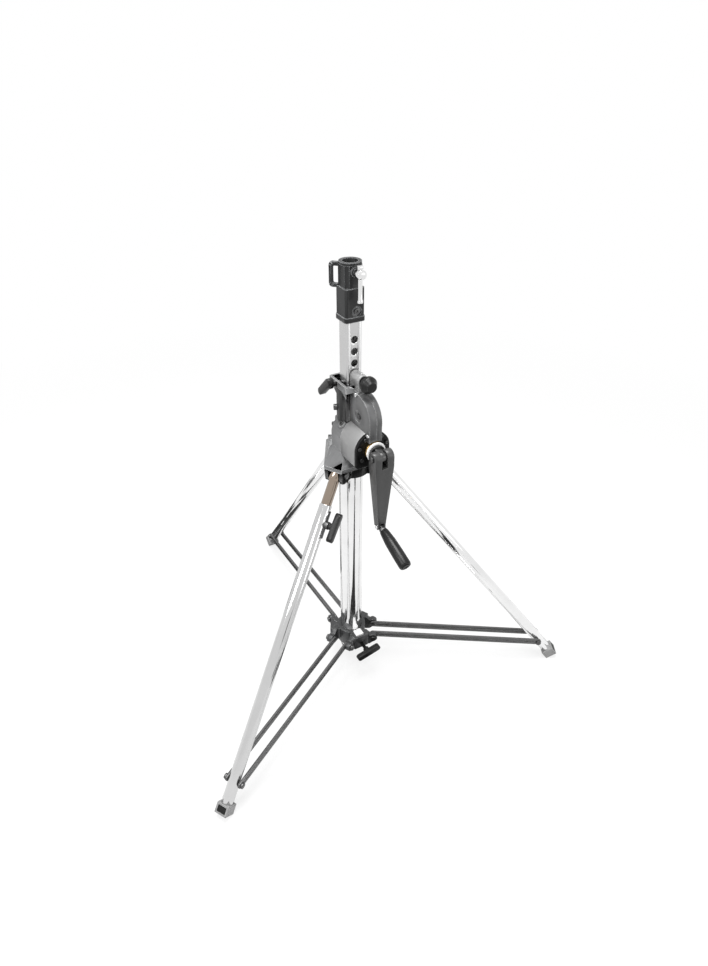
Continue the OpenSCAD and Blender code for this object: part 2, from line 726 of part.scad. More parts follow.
// Riser lock
module lock_pad() color("#c9a24a") column()
    y_cylinder(pad_r, -riser_half - 3.7, -riser_half - 0.2, 0, lock_z);

module lock_knob() color("#17181a") column() translate([0, -riser_half - 3.8, lock_z]) rotate([90, 0, 0])
    t_knob(20.4, 58, 45);

// Legs
module leg_bore() {
    y_cylinder(bolt_r + slip, -fork_half, fork_half, hinge_r, hinge_z);
}

// Tube along a leg from s0 to s1, with a solid end for the hinge
module leg_tube(s0, s1, r, wall, plug_r) {
    difference() {
        union() {
            on_leg(s0) difference() {
                cylinder(r = r, h = s1 - s0);
                translate([0, 0, -cut]) cylinder(r = r - wall, h = s1 - s0 - 22);
            }
            if (plug_r > 0) on_leg(s1 - 24) cylinder(r = plug_r, h = 24);
        }
        leg_bore();
    }
}

module leg_1_upper() color("#c9cacd") column() at_leg(0)
    leg_tube(level_top_s - 170, hinge_s + 7.5, level_inner_r, 1.5, leg_r);

module leg_1_lower() color("#dcdde0") column() at_leg(0) difference() {
    on_leg(24) cylinder(r = leg_r, h = level_top_s - 24);
    on_leg(24 - cut) cylinder(r = level_inner_r + slip, h = level_top_s - 24 + 2 * cut);
    on_leg(level_knob_s) rotate([-90, 0, 0]) cylinder(r = pad_r, h = leg_d);
}

module leg_2() color("#dcdde0") column() at_leg(1) leg_tube(24, hinge_s + 7.5, leg_r, leg_wall, 0);

module leg_3() color("#dcdde0") column() at_leg(2) leg_tube(24, hinge_s + 7.5, leg_r, leg_wall, 0);

module hinge_bolts() color("#2a2b2e") column() for (i = [0:2]) at_leg(i)
    translate([hinge_r, 0, hinge_z]) cross_bolt(fork_half, bolt_r);

// Square cap on a leg's end, cut flat on the floor
module foot(i) {
    color("#77787b") column() at_leg(i) difference() {
        on_leg(-26) translate([-foot_w / 2, -foot_w / 2, 0]) cube([foot_w, foot_w, 26 + foot_len]);
        on_leg(24) cylinder(r = leg_r, h = foot_len);
        translate([0, -foot_w, -3 * foot_w]) cube([2 * foot_r, 2 * foot_w, 3 * foot_w]);
        on_leg(12) translate([foot_w / 2 - 2, -6, 0]) cube([foot_w, 12, 14]);
    }
}

module foot_1() foot(0);

module foot_2() foot(1);

module foot_3() foot(2);

// Saddle beside the top of the sliding tube of the levelling leg, with the boss for its knob
module level_clamp() color("#1c1d20") column() at_leg(0) difference() {
    union() {
        on_leg(level_knob_s - saddle_len / 2) intersection() {
            cylinder(r = leg_r + 2, h = saddle_len);
            translate([-saddle_w / 2, 0, 0]) cube([saddle_w, 2 * leg_r, saddle_len]);
        }
        on_leg(level_knob_s) rotate([-90, 0, 0]) cylinder(r = 8, h = leg_r + 8);
    }
    on_leg(level_knob_s - saddle_len) cylinder(r = leg_r, h = 2 * saddle_len);
    on_leg(level_knob_s) rotate([-90, 0, 0]) cylinder(r = knob_shank_r + slip, h = leg_d + 10);
    on_leg(level_knob_s) rotate([-90, 0, 0]) cylinder(r = pad_r, h = leg_r + 4.1);
}

module level_pad() color("#c9a24a") column() at_leg(0) on_leg(level_knob_s) rotate([-90, 0, 0])
    translate([0, 0, level_inner_r + 0.2]) cylinder(r = pad_r - 0.1, h = 3);

module level_knob() color("#17181a") column() at_leg(0) on_leg(level_knob_s) rotate([-90, 0, 0])
    translate([0, 0, level_inner_r + 3.3]) t_knob(7, 60, 84);

// Braces: a pair of flat bars that straddle the leg
module brace(i) {
    color("#54565a") column() at_leg(i) for (s = [-1, 1])
        translate([spider_pivot_r, s * (bar_inner + bar_t / 2), spider_z]) rotate([0, -brace_tilt, 0])
            rotate([90, 0, 0]) translate([0, 0, -bar_t / 2]) linear_extrude(bar_t) difference() {
                translate([brace_len / 2, 0]) stadium(brace_len + bar_w, bar_w);
                circle(r = bolt_r + slip);
                translate([brace_len, 0]) circle(r = 3);
            }
}

module brace_1() brace(0);

module brace_2() brace(1);

module brace_3() brace(2);

// Bolts at the leg end of a pair of bars
module brace_bolts(i) {
    color("#1c1d20") column() at_leg(i) for (s = [-1, 1]) translate([brace_r, 0, brace_z]) {
        y_cylinder(3, s > 0 ? bar_inner : -bar_inner - bar_t, s > 0 ? bar_inner + bar_t : -bar_inner);
        y_cylinder(6, s > 0 ? bar_inner + bar_t : -bar_inner - bar_t - 4, s > 0 ? bar_inner + bar_t + 4
            : -bar_inner - bar_t);
    }
}

module brace_bolts_1() brace_bolts(0);

module brace_bolts_2() brace_bolts(1);

module brace_bolts_3() brace_bolts(2);

// Sliding collar that the braces hang from
module spider_ear(s) {
    y_slab(s > 0 ? ear_inner : -ear_outer, s > 0 ? ear_outer : -ear_inner) {
        translate([spider_pivot_r, spider_z]) circle(r = spider_ear_r);
        polygon([[ear_root_r, spider_low_z], [spider_pivot_r - 8, spider_low_z],
            [spider_pivot_r + 5, spider_z - 8], [spider_pivot_r + 5, spider_z + 7.5],
            [spider_pivot_r - 8, spider_z + 9], [spider_front - 14, spider_high_z],
            [ear_root_r, spider_high_z]]);
    }
}

module spider() color("#232427") column() difference() {
    union() {
        z_cylinder(33, spider_low_z - 3, spider_high_z + 2);
        for (i = [0:2]) at_leg(i) for (s = [-1, 1]) spider_ear(s);
        for (a = [0, 120, 240]) rotate([0, 0, a])
            box([20, -18, spider_low_z + 1.5], [spider_front, 18, spider_high_z - 1.5]);
    }
    z_cylinder(tube_r + 2 * slip, spider_low_z - 4, spider_high_z + 3);
    for (i = [0:2]) at_leg(i)
        y_cylinder(bolt_r, -ear_outer - cut, ear_outer + cut, spider_pivot_r, spider_z);
    box([0, -spider_pad_half, spider_z - 12], [pocket_front, spider_pad_half, spider_high_z + 3]);
    x_cylinder(knob_shank_r + slip, 30, spider_front + cut, 0, spider_knob_z);
}

module spider_bolts() color("#1c1d20") column() for (i = [0:2]) at_leg(i) for (s = [-1, 1])
    translate([spider_pivot_r, 0, spider_z]) {
        y_cylinder(bolt_r, s > 0 ? bar_inner : -ear_outer, s > 0 ? ear_outer : -bar_inner);
        y_cylinder(6.5, s > 0 ? ear_outer : -ear_outer - 4.5, s > 0 ? ear_outer + 4.5 : -ear_outer);
    }

module spider_pad() color("#f0efe9") column() difference() {
    box([tube_r, 0.3 - spider_pad_half, spider_z - 11.5],
        [pocket_front - pad_travel - 0.5, spider_pad_half - 0.3, spider_high_z + 1]);
    z_cylinder(tube_r + 0.25, spider_low_z, spider_high_z + 20);
}

module spider_knob() color("#17181a") column()
    translate([pocket_front - pad_travel - 0.4, 0, spider_knob_z]) rotate([0, 90, 0]) t_knob(27, 60, 103);

main_tube();
tube_plug();
head_casting();
tube_screws();
riser_guides();
gear_case_left();
gear_case_right();
case_screws();
axle_bushes();
wheel_axle();
drive_wheel();
worm_barrel();
barrel_cover();
cover_screws();
brass_collar();
rear_bearing();
brake_lining();
brake_disc();
worm_shaft();
crank_washer();
crank_hub();
crank_arm();
crank_pin();
grip_fork();
grip_pin();
crank_grip();
riser();
top_casting();
safety_loop();
casting_screw();
tommy_pad();
tommy_screw();
tommy_bar();
latch_housing();
latch_spring();
latch_plunger();
latch_knob();
lock_pad();
lock_knob();
hinge_bolts();
leg_1_upper();
leg_1_lower();
leg_2();
leg_3();
foot_1();
foot_2();
foot_3();
level_clamp();
level_pad();
level_knob();
brace_1();
brace_2();
brace_3();
brace_bolts_1();
brace_bolts_2();
brace_bolts_3();
spider();
spider_bolts();
spider_pad();
spider_knob();
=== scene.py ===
"""Wind-up stand: looks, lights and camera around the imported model. Metres, +Z up, as in the model."""

import json
import math

import bmesh
import bpy
from mathutils import Matrix, Vector


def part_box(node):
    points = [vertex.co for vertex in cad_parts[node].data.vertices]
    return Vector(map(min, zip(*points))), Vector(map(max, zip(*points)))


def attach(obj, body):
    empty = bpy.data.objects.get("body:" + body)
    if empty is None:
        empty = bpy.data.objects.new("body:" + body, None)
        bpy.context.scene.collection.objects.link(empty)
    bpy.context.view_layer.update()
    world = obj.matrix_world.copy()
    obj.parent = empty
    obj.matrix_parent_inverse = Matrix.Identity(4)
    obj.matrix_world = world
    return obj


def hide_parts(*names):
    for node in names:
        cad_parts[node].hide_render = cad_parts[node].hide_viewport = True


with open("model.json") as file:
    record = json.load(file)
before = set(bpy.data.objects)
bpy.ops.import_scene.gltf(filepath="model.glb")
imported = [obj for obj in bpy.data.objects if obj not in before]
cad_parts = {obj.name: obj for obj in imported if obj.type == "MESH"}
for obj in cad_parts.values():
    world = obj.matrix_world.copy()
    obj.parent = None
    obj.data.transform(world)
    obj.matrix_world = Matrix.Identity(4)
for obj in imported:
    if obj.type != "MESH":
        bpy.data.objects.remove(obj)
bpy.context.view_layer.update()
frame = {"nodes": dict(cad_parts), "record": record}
NODES = frame["nodes"]
RECORD = frame["record"]

# The column's axis, read from the socket's mount
AXIS_X = next(m for m in RECORD["mounts"] if m["name"] == "top_socket")["pos_m"][0]
COLUMN_FOOT = Vector((AXIS_X, 0, 0))


# Camera: the photograph's view, as fitted to the feet, the brace bolts and the socket
PHOTO_W, PHOTO_H = 708, 966
FOCAL_PX = 684.78
CENTRE_PX = (350.79, 483.0)
CAMERA_FROM_COLUMN = Vector((1.02945, -0.57066, 1.31245))
CAMERA_AZIMUTH = math.radians(-29.0)
CAMERA_PITCH = math.radians(34.257)
CAMERA_ROLL = math.radians(-0.189)
SENSOR_MM = 36.0


def make_camera():
    data = bpy.data.cameras.new("camera")
    cam = add_object("camera", data)
    az, pitch, roll = CAMERA_AZIMUTH, CAMERA_PITCH, CAMERA_ROLL
    look = Vector((-math.cos(az) * math.cos(pitch), -math.sin(az) * math.cos(pitch), -math.sin(pitch)))
    side = Vector((-math.sin(az), math.cos(az), 0.0))
    up = side.cross(look)
    right = side * math.cos(roll) + up * math.sin(roll)
    top = up * math.cos(roll) - side * math.sin(roll)
    turn = Matrix((right, top, -look)).transposed().to_4x4()
    place = CAMERA_FROM_COLUMN + COLUMN_FOOT
    cam.matrix_world = Matrix.Translation(place) @ turn
    data.sensor_width = SENSOR_MM
    data.lens = FOCAL_PX / PHOTO_H * SENSOR_MM
    data.shift_x = (PHOTO_W / 2 - CENTRE_PX[0]) / PHOTO_H
    data.clip_start = 0.01
    bpy.context.scene.camera = cam


def add_object(name, data):
    obj = bpy.data.objects.new(name, data)
    bpy.context.scene.collection.objects.link(obj)
    return obj


# Material helpers

# Width over which a band of painted shade gives way to the plain colour
SHADE_BLUR = 0.001


class Nodes:
    """A material's node tree with short calls for the nodes used here."""

    def __init__(self, name):
        self.material = bpy.data.materials.new(name)
        self.material.use_nodes = True
        self.tree = self.material.node_tree
        self.shader = self.tree.nodes["Principled BSDF"]

    def add(self, kind, **sockets):
        node = self.tree.nodes.new(kind)
        for key, value in sockets.items():
            node.inputs[key.replace("_", " ")].default_value = value
        return node

    def link(self, out, into):
        self.tree.links.new(out, into)

    def position(self, scale=(1, 1, 1)):
        """Object-space position, stretched by scale."""
        where = self.add("ShaderNodeTexCoord")
        mapping = self.add("ShaderNodeMapping")
        mapping.inputs["Scale"].default_value = scale
        self.link(where.outputs["Object"], mapping.inputs["Vector"])
        return mapping.outputs["Vector"]

    def noise(self, vector, scale, detail=3.0, roughness=0.5):
        node = self.add("ShaderNodeTexNoise", Scale=scale, Detail=detail, Roughness=roughness)
        self.link(vector, node.inputs["Vector"])
        return node.outputs["Fac"]

    def ramp(self, fac, low, high, colour_low, colour_high):
        node = self.add("ShaderNodeValToRGB")
        node.color_ramp.elements[0].position = low
        node.color_ramp.elements[1].position = high
        node.color_ramp.elements[0].color = colour_low
        node.color_ramp.elements[1].color = colour_high
        self.link(fac, node.inputs["Fac"])
        return node.outputs["Color"]

    def between(self, fac, low, high, out_low, out_high):
        node = self.add("ShaderNodeMapRange")
        for key, value in zip(("From Min", "From Max", "To Min", "To Max"), (low, high, out_low, out_high)):
            node.inputs[key].default_value = value
        self.link(fac, node.inputs["Value"])
        return node.outputs["Result"]

    def bump(self, height, strength, distance):
        node = self.add("ShaderNodeBump", Strength=strength, Distance=distance)
        self.link(height, node.inputs["Height"])
        self.link(node.outputs["Normal"], self.shader.inputs["Normal"])

    def edge(self, radius):
        """1 on convex and concave edges, 0 on flat faces, by the angle between rounded and plain normals."""
        bevel = self.tree.nodes.new("ShaderNodeBevel")
        bevel.samples = 4
        bevel.inputs["Radius"].default_value = radius
        plain = self.add("ShaderNodeNewGeometry")
        dot = self.add("ShaderNodeVectorMath")
        dot.operation = "DOT_PRODUCT"
        self.link(bevel.outputs["Normal"], dot.inputs[0])
        self.link(plain.outputs["Normal"], dot.inputs[1])
        return self.between(dot.outputs["Value"], 0.98, 0.8, 0.0, 1.0)

    def mix(self, fac, a, b):
        """Mix of two colours, each a value or another node's output."""
        node = self.add("ShaderNodeMix")
        node.data_type = "RGBA"
        self.link(fac, node.inputs["Factor"])
        for value, index in ((a, 6), (b, 7)):
            if isinstance(value, tuple):
                node.inputs[index].default_value = value
            else:
                self.link(value, node.inputs[index])
        return node.outputs[2]

    def product(self, a, b):
        node = self.add("ShaderNodeMath")
        node.operation = "MULTIPLY"
        self.link(a, node.inputs[0])
        self.link(b, node.inputs[1])
        return node.outputs[0]

    def length(self, vector):
        node = self.add("ShaderNodeVectorMath")
        node.operation = "LENGTH"
        self.link(vector, node.inputs[0])
        return node.outputs["Value"]

    def inside(self, where, low, high, radius):
        """1 between two heights and within a radius of the column's axis, else 0."""
        split = self.add("ShaderNodeSeparateXYZ")
        self.link(where, split.inputs[0])
        flat = self.add("ShaderNodeCombineXYZ")
        self.link(self.between(split.outputs["X"], AXIS_X - 1, AXIS_X + 1, -1.0, 1.0), flat.inputs["X"])
        self.link(split.outputs["Y"], flat.inputs["Y"])
        near = self.between(self.length(flat.outputs[0]), radius - SHADE_BLUR / 2, radius, 1.0, 0.0)
        above = self.between(split.outputs["Z"], low, low + SHADE_BLUR, 0.0, 1.0)
        below = self.between(split.outputs["Z"], high - SHADE_BLUR, high, 1.0, 0.0)
        return self.product(self.product(near, above), below)


def grey(v, warm=0.0):
    """Linear grey, with a share of warmth from blue to red."""
    return (v * (1 + warm), v, v * (1 - warm), 1.0)


def plated(name, colour, rough, bump, grain_scale, along=1.0):
    """Plated or polished metal: smudges between two roughnesses, and a fine grain.

    The grain is drawn out along Z where along is below 1."""
    m = Nodes(name)
    m.shader.inputs["Metallic"].default_value = 1.0
    where = m.position()
    smudge = m.noise(where, 18.0, 4.0, 0.6)
    m.link(m.ramp(smudge, 0.35, 0.7, colour, tuple(c * 0.93 for c in colour[:3]) + (1,)),
           m.shader.inputs["Base Color"])
    m.link(m.between(smudge, 0.3, 0.75, *rough), m.shader.inputs["Roughness"])
    m.bump(m.noise(m.position((1, 1, along)), grain_scale, 4.0, 0.6), bump, 0.0002)
    return m.material


def coated(name, colour, rough, specks, bump, edge_wear_and_highlight=None, edge_radius=0.0012, metal=0.0, shine=0.5, painted_shade_bands=()):
    """Painted or powder-coated casting: fine texture, and lighter edges where their colour is given, partly
    wear and partly a painted highlight.

    A band is painted shade, a darker colour between two heights, out to a radius from the column's axis:
    (low, high, radius, colour)."""
    m = Nodes(name)
    where = m.position()
    patch = m.noise(where, 14.0, 3.0, 0.55)
    light = tuple(min(1.0, c * 1.35) for c in colour[:3]) + (1,)
    tint = m.ramp(patch, 0.3, 0.75, colour, light)
    # Lighter edges: a painted highlight along convex and concave edges, broken up by noise as patchy wear
    if edge_wear_and_highlight:
        scuff_and_highlight = m.between(m.noise(where, 90.0, 5.0, 0.7), 0.3, 0.6, 0.35, 1.0)
        tint = m.mix(m.product(m.edge(edge_radius), scuff_and_highlight), tint, edge_wear_and_highlight)
    # Painted shade: darker bands where the sleeve and the leg forks fall dark
    for low, high, radius, shade_colour in painted_shade_bands:
        tint = m.mix(m.inside(where, low, high, radius), tint, shade_colour)
    m.link(tint, m.shader.inputs["Base Color"])
    m.link(m.between(patch, 0.3, 0.7, rough - 0.06, rough + 0.08), m.shader.inputs["Roughness"])
    m.shader.inputs["Metallic"].default_value = metal
    m.shader.inputs["Specular IOR Level"].default_value = shine
    m.bump(m.noise(where, specks, 3.0, 0.6), bump, 0.0004)
    return m.material


def moulded(name, colour, rough, bump, shine=0.5):
    """Moulded plastic or rubber with a fine satin grain."""
    m = Nodes(name)
    where = m.position()
    patch = m.noise(where, 30.0, 3.0, 0.5)
    dusty = tuple(min(1.0, c * 1.25 + 0.004) for c in colour[:3]) + (1,)
    m.link(m.ramp(patch, 0.35, 0.7, colour, dusty), m.shader.inputs["Base Color"])
    m.link(m.between(patch, 0.3, 0.7, rough - 0.05, rough + 0.07), m.shader.inputs["Roughness"])
    m.shader.inputs["Specular IOR Level"].default_value = shine
    m.bump(m.noise(where, 900.0, 2.0, 0.5), bump, 0.0002)
    return m.material


# Painted shade on the head casting: a darker band on the sleeve under the collar, standing in for its dark
# reflection, and one on the leg forks under the roof
SLEEVE_SHADE = (0.6655, 0.736, 0.0295, grey(0.009))
FORK_SHADE = (0.45, 0.5785, 0.2, grey(0.024))

# Looks, by the function that makes them
PLATED = {
    "chrome_tube": dict(colour=grey(0.84), rough=(0.05, 0.13), bump=0.02, grain_scale=300.0, along=0.05),
    "leg_chrome": dict(colour=grey(0.62), rough=(0.06, 0.14), bump=0.02, grain_scale=300.0, along=0.05),
    "bronze_tube": dict(colour=(0.33, 0.27, 0.22, 1), rough=(0.06, 0.14), bump=0.03, grain_scale=300.0,
                        along=0.05),
    "riser_steel": dict(colour=grey(0.58), rough=(0.24, 0.36), bump=0.08, grain_scale=400.0, along=0.03),
    "brass": dict(colour=(0.72, 0.50, 0.22, 1), rough=(0.22, 0.34), bump=0.04, grain_scale=300.0),
    "dark_steel": dict(colour=grey(0.10), rough=(0.3, 0.45), bump=0.05, grain_scale=500.0),
    "bright_steel": dict(colour=grey(0.80), rough=(0.1, 0.22), bump=0.03, grain_scale=400.0),
}
# Each finish's lighter edge colour is partly wear and partly a painted edge highlight
COATED = {
    "black_casting": dict(colour=grey(0.010, -0.03), rough=0.34, specks=700.0, bump=0.2,
                          edge_wear_and_highlight=grey(0.34, -0.02), edge_radius=0.0026, shine=0.3),
    "grey_casting": dict(colour=grey(0.085, -0.01), rough=0.34, specks=600.0, bump=0.12, edge_wear_and_highlight=grey(0.5),
                         edge_radius=0.002, metal=0.15),
    "head_casting": dict(colour=grey(0.125, -0.01), rough=0.36, specks=600.0, bump=0.12, edge_wear_and_highlight=grey(0.55),
                         edge_radius=0.002, metal=0.12, shine=0.4, painted_shade_bands=(SLEEVE_SHADE, FORK_SHADE)),
    "dark_casting": dict(colour=grey(0.045, -0.02), rough=0.38, specks=700.0, bump=0.16, edge_wear_and_highlight=grey(0.3),
                         metal=0.3),
    "crank_black": dict(colour=grey(0.035), rough=0.36, specks=900.0, bump=0.1, edge_wear_and_highlight=grey(0.16)),
    "silver_casting": dict(colour=grey(0.2), rough=0.34, specks=600.0, bump=0.12, edge_wear_and_highlight=grey(0.62),
                           edge_radius=0.002, metal=0.2),
    "latch_casting": dict(colour=grey(0.27), rough=0.34, specks=600.0, bump=0.12, edge_wear_and_highlight=grey(0.62), metal=0.5),
    "cover_black": dict(colour=grey(0.003), rough=0.4, specks=700.0, bump=0.12, edge_wear_and_highlight=grey(0.08), shine=0.15),
    "brace_paint": dict(colour=grey(0.075), rough=0.36, specks=800.0, bump=0.1, edge_wear_and_highlight=grey(0.3),
                        edge_radius=0.0008, metal=0.3),
}
MOULDED = {
    "black_plastic": dict(colour=grey(0.006), rough=0.3, bump=0.1, shine=0.22),
    "white_nylon": dict(colour=grey(0.82), rough=0.4, bump=0.05),
    "black_nylon": dict(colour=grey(0.02), rough=0.35, bump=0.05),
    "foot_grey": dict(colour=grey(0.21), rough=0.5, bump=0.2),
    "lining": dict(colour=(0.10, 0.07, 0.05, 1), rough=0.85, bump=0.4),
}


def make_materials():
    materials = {}
    for make, finishes in ((plated, PLATED), (coated, COATED), (moulded, MOULDED)):
        for name, finish in finishes.items():
            materials[name] = make(name, **finish)
    return materials


# Nodes whose finish differs from the rest of their slot
OWN_FINISH = {"head_casting": "head_casting", "gear_case_left": "grey_casting",
              "gear_case_right": "grey_casting", "spider": "dark_casting", "latch_housing": "latch_casting",
              "leg_1_upper": "bronze_tube", "leg_1_lower": "leg_chrome", "wheel_axle": "dark_steel",
              "axle_bushes": "dark_steel", "lock_pad": "dark_steel", "grip_fork": "dark_steel",
              "tube_screws": "dark_steel", "cover_screws": "dark_steel"}

# Width of the rounded edges: all nodes but the named ones get the plain width
PLAIN_EDGE = 0.0006
EDGE_WIDTH = {"head_casting": 0.0016, "spider": 0.0012, "top_casting": 0.001,
              "crank_arm": 0.002, "gear_case_left": 0.001, "gear_case_right": 0.001,
              "worm_barrel": 0.001, "latch_housing": 0.001, "safety_loop": 0.0014, "barrel_cover": 0.0008,
              "lock_knob": 0.0022, "level_knob": 0.0022, "spider_knob": 0.0022,
              "drive_wheel": 0.0, "worm_shaft": 0.0, "latch_spring": 0.0}
# Edges with a larger angle than this stay sharp in the shading and get a rounded edge
SHARP = math.radians(32)
# Vertices of the tessellated solids that are closer than this are one
WELD = 0.000004


def dress_nodes(materials):
    slot_of = {s["node"]: s["material_slot"] for s in RECORD["subparts"]}
    for name, node in NODES.items():
        mesh = node.data
        mesh.materials.clear()
        mesh.materials.append(materials[OWN_FINISH.get(name, slot_of[name])])
        mesh.shade_smooth()
        weld = node.modifiers.new("weld", "WELD")
        weld.merge_threshold = WELD
        width = EDGE_WIDTH.get(name, PLAIN_EDGE)
        if width:
            bevel = node.modifiers.new("edges", "BEVEL")
            bevel.width = width
            bevel.segments = 2
            bevel.limit_method = "ANGLE"
            bevel.angle_limit = SHARP
            bevel.harden_normals = True
            bevel.use_clamp_overlap = True


# Small pieces that the model's solids leave out

# Points in each ring of a turned piece
RING_POINTS = 24


def turned(name, rings, place, axis, body, material):
    """Solid of rings along an axis from a place, which is measured from the column's foot.

    A ring is (radius, height), or (corner radius, height, 6) for a hexagon."""
    bm = bmesh.new()
    loops = []
    for radius, height, *sides in rings:
        loop = []
        for i in range(RING_POINTS):
            angle = 2 * math.pi * i / RING_POINTS
            reach = radius
            if sides:
                reach *= math.cos(math.pi / 6) / math.cos(angle % (math.pi / 3) - math.pi / 6)
            loop.append(bm.verts.new((reach * math.cos(angle), reach * math.sin(angle), height)))
        loops.append(loop)
    for low, high in zip(loops, loops[1:]):
        for i in range(RING_POINTS):
            j = (i + 1) % RING_POINTS
            bm.faces.new((low[i], low[j], high[j], high[i]))
    bm.faces.new(list(reversed(loops[0])))
    bm.faces.new(loops[-1])
    mesh = bpy.data.meshes.new(name)
    turn = Vector(axis).to_track_quat("Z", "Y").to_matrix().to_4x4()
    bm.transform(Matrix.Translation(Vector(place) + COLUMN_FOOT) @ turn)
    bm.to_mesh(mesh)
    bm.free()
    piece = add_object(name, mesh)
    mesh.materials.append(material)
    mesh.shade_smooth()
    mesh.set_sharp_from_angle(angle=SHARP)
    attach(piece, body)


def cap_screw(name, radius, height, place, axis, steel, materials):
    """Socket-head screw in the body of the stand: chamfered head with a hexagonal hole, root in the metal."""
    edge = radius * 0.12
    root = 0.001
    hole_r, hole_floor = radius * 0.55, height * 0.45
    rings = [(radius - edge, -root), (radius, 0.0), (radius, height - edge), (radius - edge, height),
             (hole_r, height, 6), (hole_r, hole_floor, 6)]
    turned(name, rings, place, axis, "root", materials[steel])


# The worm's housing: height of its axis, which is the crank's, and radius of its arch
CRANK_Z = 0.639
HOUSING_R = 0.0365
# The boss on the shoulder of the arch, and how far its screw is above the boss's root
BOSS_X = 0.014
BOSS_SINK = 0.001
BOSS_RINGS = [(0.009, 0.0), (0.0085, 0.003), (0.0075, 0.004), (0.0052, 0.004), (0.0052, 0.002)]
BOSS_SCREW_RISE = 0.0022
# The screw on the sleeve: its bearing round the column, the sleeve's radius there and its height
SLEEVE_SCREW_TURN = math.radians(-115)
SLEEVE_R = 0.027
SLEEVE_SCREW_Z = 0.690
# The screw in the left face of the body, below the sleeve
BODY_SCREW = (-0.017, -0.0245, 0.650)
# The grub screw on top of the latch housing
LATCH_SCREW_X = 0.043
LATCH_SCREW_SINK = 0.0004
# The two screws in the collar's pocket
POCKET_SCREW_X, POCKET_SCREW_Y, POCKET_SCREW_Z = 0.0265, 0.0203, 0.740
UP = (0, 0, 1)


def add_head_details(materials):
    out = Vector((math.cos(SLEEVE_SCREW_TURN), math.sin(SLEEVE_SCREW_TURN), 0))
    on_sleeve = out * SLEEVE_R + Vector((0, 0, SLEEVE_SCREW_Z))
    cap_screw("sleeve_screw", 0.006, 0.006, on_sleeve, out, "dark_steel", materials)
    cap_screw("body_screw", 0.006, 0.006, BODY_SCREW, (0, -1, 0), "dark_steel", materials)
    slant = Vector((0, -math.sqrt(0.5), math.sqrt(0.5)))
    boss = Vector((BOSS_X, 0, CRANK_Z)) + slant * (HOUSING_R - BOSS_SINK)
    on_boss = boss + slant * BOSS_SCREW_RISE
    turned("housing_boss", BOSS_RINGS, boss, slant, "root", materials["head_casting"])
    cap_screw("housing_screw", 0.0045, 0.0035, on_boss, slant, "dark_steel", materials)
    latch_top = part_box("latch_housing")[1][2]
    cap_screw("latch_screw", 0.0028, 0.004, (LATCH_SCREW_X, 0, latch_top - LATCH_SCREW_SINK), UP,
              "bright_steel", materials)
    for side, y in (("left", -POCKET_SCREW_Y), ("right", POCKET_SCREW_Y)):
        cap_screw("collar_screw_" + side, 0.0038, 0.004, (POCKET_SCREW_X, y, POCKET_SCREW_Z), UP,
                  "bright_steel", materials)


# The grip's pivot, how far it droops from level, and the dished plug in its far end
GRIP_PIVOT = Vector((0.1205, 0.0, 0.480))
GRIP_DROOP = math.radians(20)
GRIP_END = 0.1005
PLUG_RINGS = [(0.0079, 0.0), (0.0079, 0.0012), (0.0072, 0.0018), (0.0045, 0.0018), (0.004, 0.0008)]


def add_grip_plug(materials):
    along = Vector((math.cos(GRIP_DROOP), 0, -math.sin(GRIP_DROOP)))
    turned("grip_plug", PLUG_RINGS, GRIP_PIVOT + along * GRIP_END, along, "grip",
           materials["black_plastic"])


# Feet: a block square to its leg, with a pocket in its outer face; its lowest edge is on the floor
FOOT_W, FOOT_TOP = 0.028, 0.033
FOOT_ROUNDING = 0.0022
POCKET_RIM, POCKET_DEPTH, POCKET_DRAFT = 0.006, 0.0013, 0.0003
# The feet's distance from the column's axis, and the height at which the three legs' axes meet on it
FOOT_REACH, APEX_Z = 0.5, 0.636
LEAN = math.atan(FOOT_REACH / APEX_Z)
FOOT_LOW = FOOT_W / 2 * math.tan(LEAN)


def add_feet(materials):
    for name, turn, body in (("foot_1", -60, "level"), ("foot_2", 60, "leg_2"), ("foot_3", 180, "leg_3")):
        bm = bmesh.new()
        bmesh.ops.create_cube(bm, size=1.0)
        bmesh.ops.scale(bm, vec=(FOOT_W, FOOT_W, FOOT_TOP - FOOT_LOW), verts=bm.verts)
        bmesh.ops.translate(bm, vec=(0, 0, (FOOT_TOP + FOOT_LOW) / 2), verts=bm.verts)
        bm.faces.ensure_lookup_table()
        outer = max(bm.faces, key=lambda face: face.normal.x)
        bmesh.ops.inset_region(bm, faces=[outer], thickness=POCKET_RIM)
        walls = bmesh.ops.inset_region(bm, faces=[outer], thickness=POCKET_DRAFT, depth=-POCKET_DEPTH)
        for face in walls["faces"] + [outer]:
            face.material_index = 1
        bm.transform(Matrix.Translation(COLUMN_FOOT) @ Matrix.Rotation(math.radians(turn), 4, "Z")
                     @ Matrix.Translation((FOOT_REACH, 0, 0)) @ Matrix.Rotation(-LEAN, 4, "Y"))
        mesh = bpy.data.meshes.new(name + "_block")
        bm.to_mesh(mesh)
        bm.free()
        block = add_object(name + "_block", mesh)
        mesh.materials.append(materials["foot_grey"])
        mesh.materials.append(materials["black_plastic"])
        mesh.shade_smooth()
        rounding = block.modifiers.new("edges", "BEVEL")
        rounding.width = FOOT_ROUNDING
        rounding.segments = 3
        rounding.limit_method = "ANGLE"
        rounding.harden_normals = True
        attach(block, body)
        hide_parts(name)


# Surroundings

# Half the floor's side
FLOOR_HALF = 40.0
# Share of plain white that the camera sees on the floor beside the object, where the rest shows its shadow,
# and the distances between which that share rises to the whole
FLOOR_GLOW = 0.8
GLOW_NEAR, GLOW_FAR = 0.7, 2.2
# Strength of the world's light on the object
WORLD_LIGHT = 0.38


